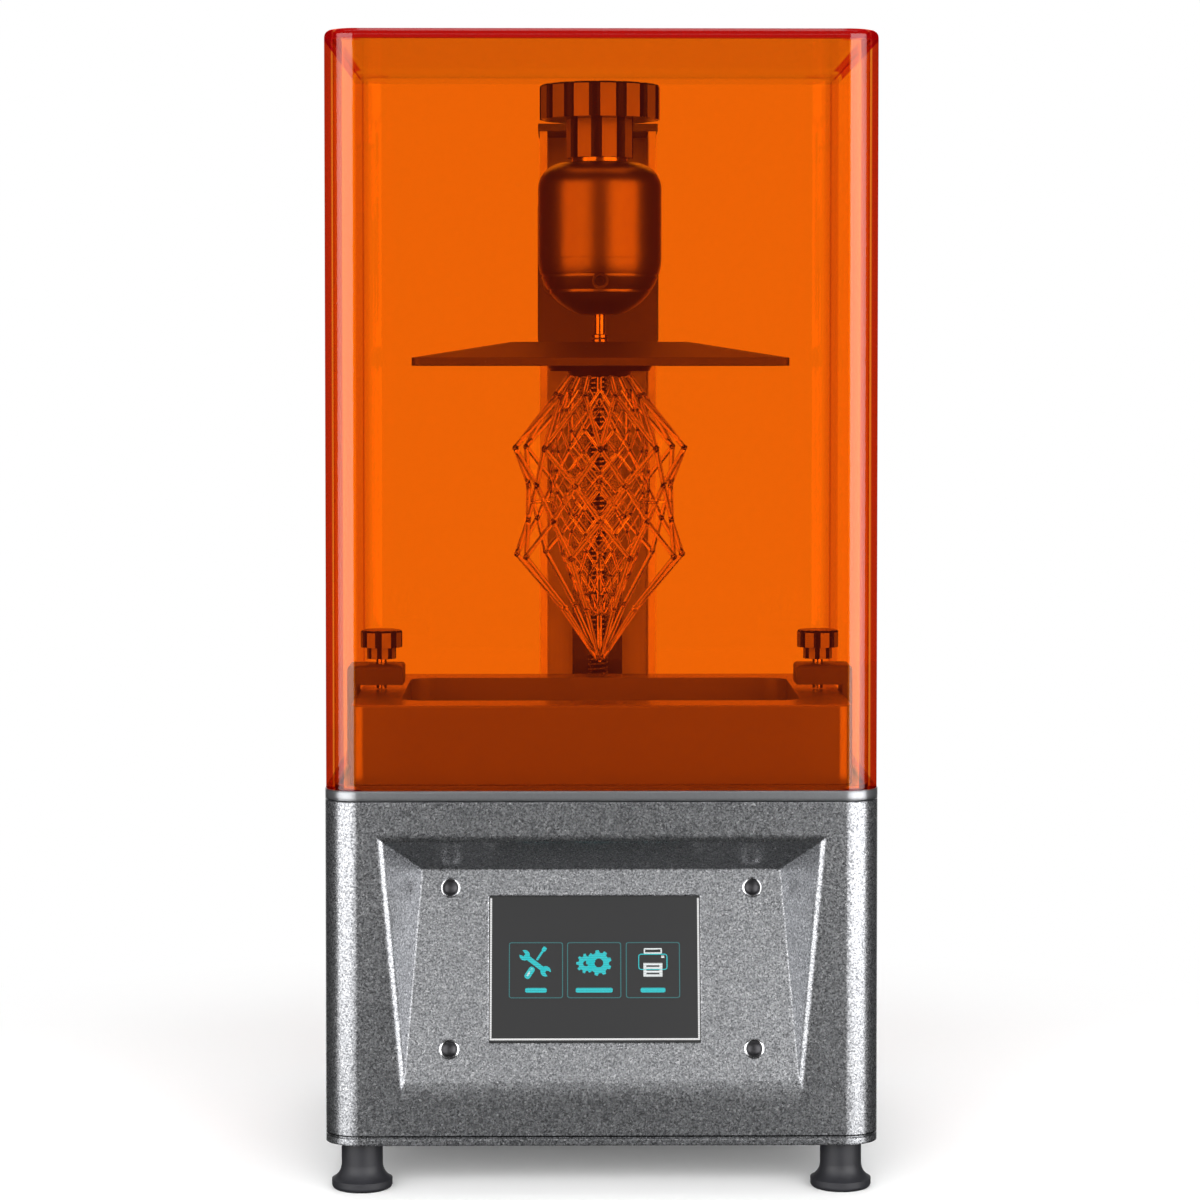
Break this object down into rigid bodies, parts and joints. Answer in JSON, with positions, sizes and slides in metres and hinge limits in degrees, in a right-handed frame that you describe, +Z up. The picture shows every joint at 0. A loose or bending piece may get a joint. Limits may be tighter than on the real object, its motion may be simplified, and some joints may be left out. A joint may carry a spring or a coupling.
{
  "type": "resin printer",
  "caption": "Desktop vat printer: tall tinted clear cover over a build plate, resin vat and Z column, on a square metal base with a recessed sloping touch panel and round feet.",
  "frame": {"origin": "centre of the footprint, on the surface that the feet stand on", "axes": "+Z up, the front with the control panel faces -Y, +X to the right seen from the front"},
  "size_m": [0.2, 0.2, 0.4189],
  "materials": {
    "fleck_paint": "grey metallic paint with fine flecks",
    "black_rubber": "soft matt rubber",
    "black_screws": "black oxide",
    "mask_screen": "dark coated glass",
    "display": "dark display behind clear film",
    "black_anodised": "black anodised",
    "plate_metal": "bead-blasted and anodised",
    "bright_steel": "ground steel",
    "nut_brass": "machined",
    "liner_plastic": "moulded",
    "release_film": "clear film",
    "cover_acrylic": "tinted clear acrylic",
    "print_resin": "cured resin",
    "black_plastic": "moulded with a fine grain",
    "zinc_steel": "zinc plated",
    "motor_metal": "black enamel with bare end caps",
    "circuit_board": "solder mask",
    "bare_aluminium": "extruded"
  },
  "bodies": {
    "base": {"lower_housing": "fleck_paint", "bottom_plate": "fleck_paint", "rubber_feet": "black_rubber", "foot_screws": "black_screws", "deck_plate": "fleck_paint", "deck_screws": "black_screws", "lcd_panel": "mask_screen", "touch_screen": "display", "fascia_screws": "black_screws", "vat_clamp_left": "black_anodised", "vat_clamp_right": "black_anodised", "clamp_screws": "black_screws", "column": "bare_aluminium", "column_cap": "black_anodised", "guide_rail": "bright_steel", "column_screws": "black_screws", "z_motor_mount": "zinc_steel", "z_motor": "motor_metal", "motor_screws": "black_screws", "z_home_switch": "black_plastic", "lamp_fan_frame": "black_plastic", "lamp_heatsink": "bare_aluminium", "lamp_board": "circuit_board", "lamp_hood": "bare_aluminium", "main_board": "circuit_board", "board_standoffs": "zinc_steel", "rear_panel": "fleck_paint", "rear_screws": "black_screws", "rear_fan_frame": "black_plastic", "power_inlet": "black_plastic", "usb_port": "zinc_steel", "switch_frame": "black_plastic"},
    "cover": {"clear_cover": "cover_acrylic"},
    "z_carriage": {"carriage_plate": "black_anodised", "guide_block": "bright_steel", "lead_nut": "nut_brass", "head_casting": "black_anodised", "arm_screws": "black_screws", "socket_cup": "black_anodised", "ball_lock_screw": "black_screws"},
    "z_screw": {"motor_shaft": "bright_steel", "shaft_coupler": "black_anodised", "lead_screw": "bright_steel"},
    "top_stud": {"head_stud": "bright_steel"},
    "top_knob": {"head_knob": "black_anodised"},
    "ball_sleeve": {"ball_liner": "liner_plastic"},
    "platform": {"ball_stud": "bright_steel", "build_plate": "plate_metal", "sample_print": "print_resin"},
    "vat": {"vat_body": "black_anodised", "vat_film": "release_film", "film_frame": "bright_steel", "film_frame_screws": "black_screws"},
    "left_stud": {"vat_stud_left": "bright_steel"},
    "left_knob": {"vat_knob_left": "black_anodised"},
    "right_stud": {"vat_stud_right": "bright_steel"},
    "right_knob": {"vat_knob_right": "black_anodised"},
    "power_rocker": {"switch_rocker": "black_plastic"},
    "rear_fan": {"rear_fan_rotor": "black_plastic"},
    "lamp_fan": {"lamp_fan_rotor": "black_plastic"}
  },
  "joints": [
    {"name": "cover_lift", "type": "slide", "parent": "base", "child": "cover", "axis": [0, 0, 1], "range_m": [0, 0.275]},
    {"name": "z_travel", "type": "slide", "parent": "base", "child": "z_carriage", "axis": [0, 0, 1], "range_m": [-0.15, 0], "deforming": ["sample_print"]},
    {"name": "screw_turn", "type": "hinge", "parent": "base", "child": "z_screw", "pos_m": [0, 0.0602, 0.25], "axis": [0, 0, 1], "continuous": true},
    {"name": "top_knob_lift", "type": "slide", "parent": "z_carriage", "child": "top_stud", "axis": [0, 0, 1], "range_m": [0, 0.0055]},
    {"name": "top_knob_turn", "type": "hinge", "parent": "top_stud", "child": "top_knob", "pos_m": [0, -0.0205, 0.39], "axis": [0, 0, 1], "range_deg": [0, 1584]},
    {"name": "plate_tilt_front", "type": "hinge", "parent": "z_carriage", "child": "ball_sleeve", "pos_m": [0, -0.0205, 0.332], "axis": [1, 0, 0], "range_deg": [-1, 1]},
    {"name": "plate_tilt_side", "type": "hinge", "parent": "ball_sleeve", "child": "platform", "pos_m": [0, -0.0205, 0.332], "axis": [0, 1, 0], "range_deg": [-1, 1]},
    {"name": "vat_slide", "type": "slide", "parent": "base", "child": "vat", "axis": [0, -1, 0], "range_m": [0, 0.0105]},
    {"name": "left_knob_lift", "type": "slide", "parent": "base", "child": "left_stud", "axis": [0, 0, 1], "range_m": [0, 0.003]},
    {"name": "left_knob_turn", "type": "hinge", "parent": "left_stud", "child": "left_knob", "pos_m": [-0.0833, -0.0205, 0.19], "axis": [0, 0, 1], "range_deg": [0, 1542.86]},
    {"name": "right_knob_lift", "type": "slide", "parent": "base", "child": "right_stud", "axis": [0, 0, 1], "range_m": [0, 0.003]},
    {"name": "right_knob_turn", "type": "hinge", "parent": "right_stud", "child": "right_knob", "pos_m": [0.0833, -0.0205, 0.19], "axis": [0, 0, 1], "range_deg": [0, 1542.86]},
    {"name": "rocker_swing", "type": "hinge", "parent": "base", "child": "power_rocker", "pos_m": [-0.052, 0.0945, 0.098], "axis": [1, 0, 0], "range_deg": [-8, 8]},
    {"name": "rear_fan_spin", "type": "hinge", "parent": "base", "child": "rear_fan", "pos_m": [0, 0.09, 0.08], "axis": [0, 1, 0], "continuous": true},
    {"name": "lamp_fan_spin", "type": "hinge", "parent": "base", "child": "lamp_fan", "pos_m": [0, -0.0205, 0.0285], "axis": [0, 0, 1], "continuous": true}
  ],
  "couplings": [
    {"joint": "screw_turn", "follows": "z_travel", "rad_per_m": -3141.6},
    {"joint": "top_knob_lift", "follows": "top_knob_turn", "m_per_rad": 0.00019894},
    {"joint": "left_knob_lift", "follows": "left_knob_turn", "m_per_rad": 0.00011141},
    {"joint": "right_knob_lift", "follows": "right_knob_turn", "m_per_rad": 0.00011141}
  ]
}
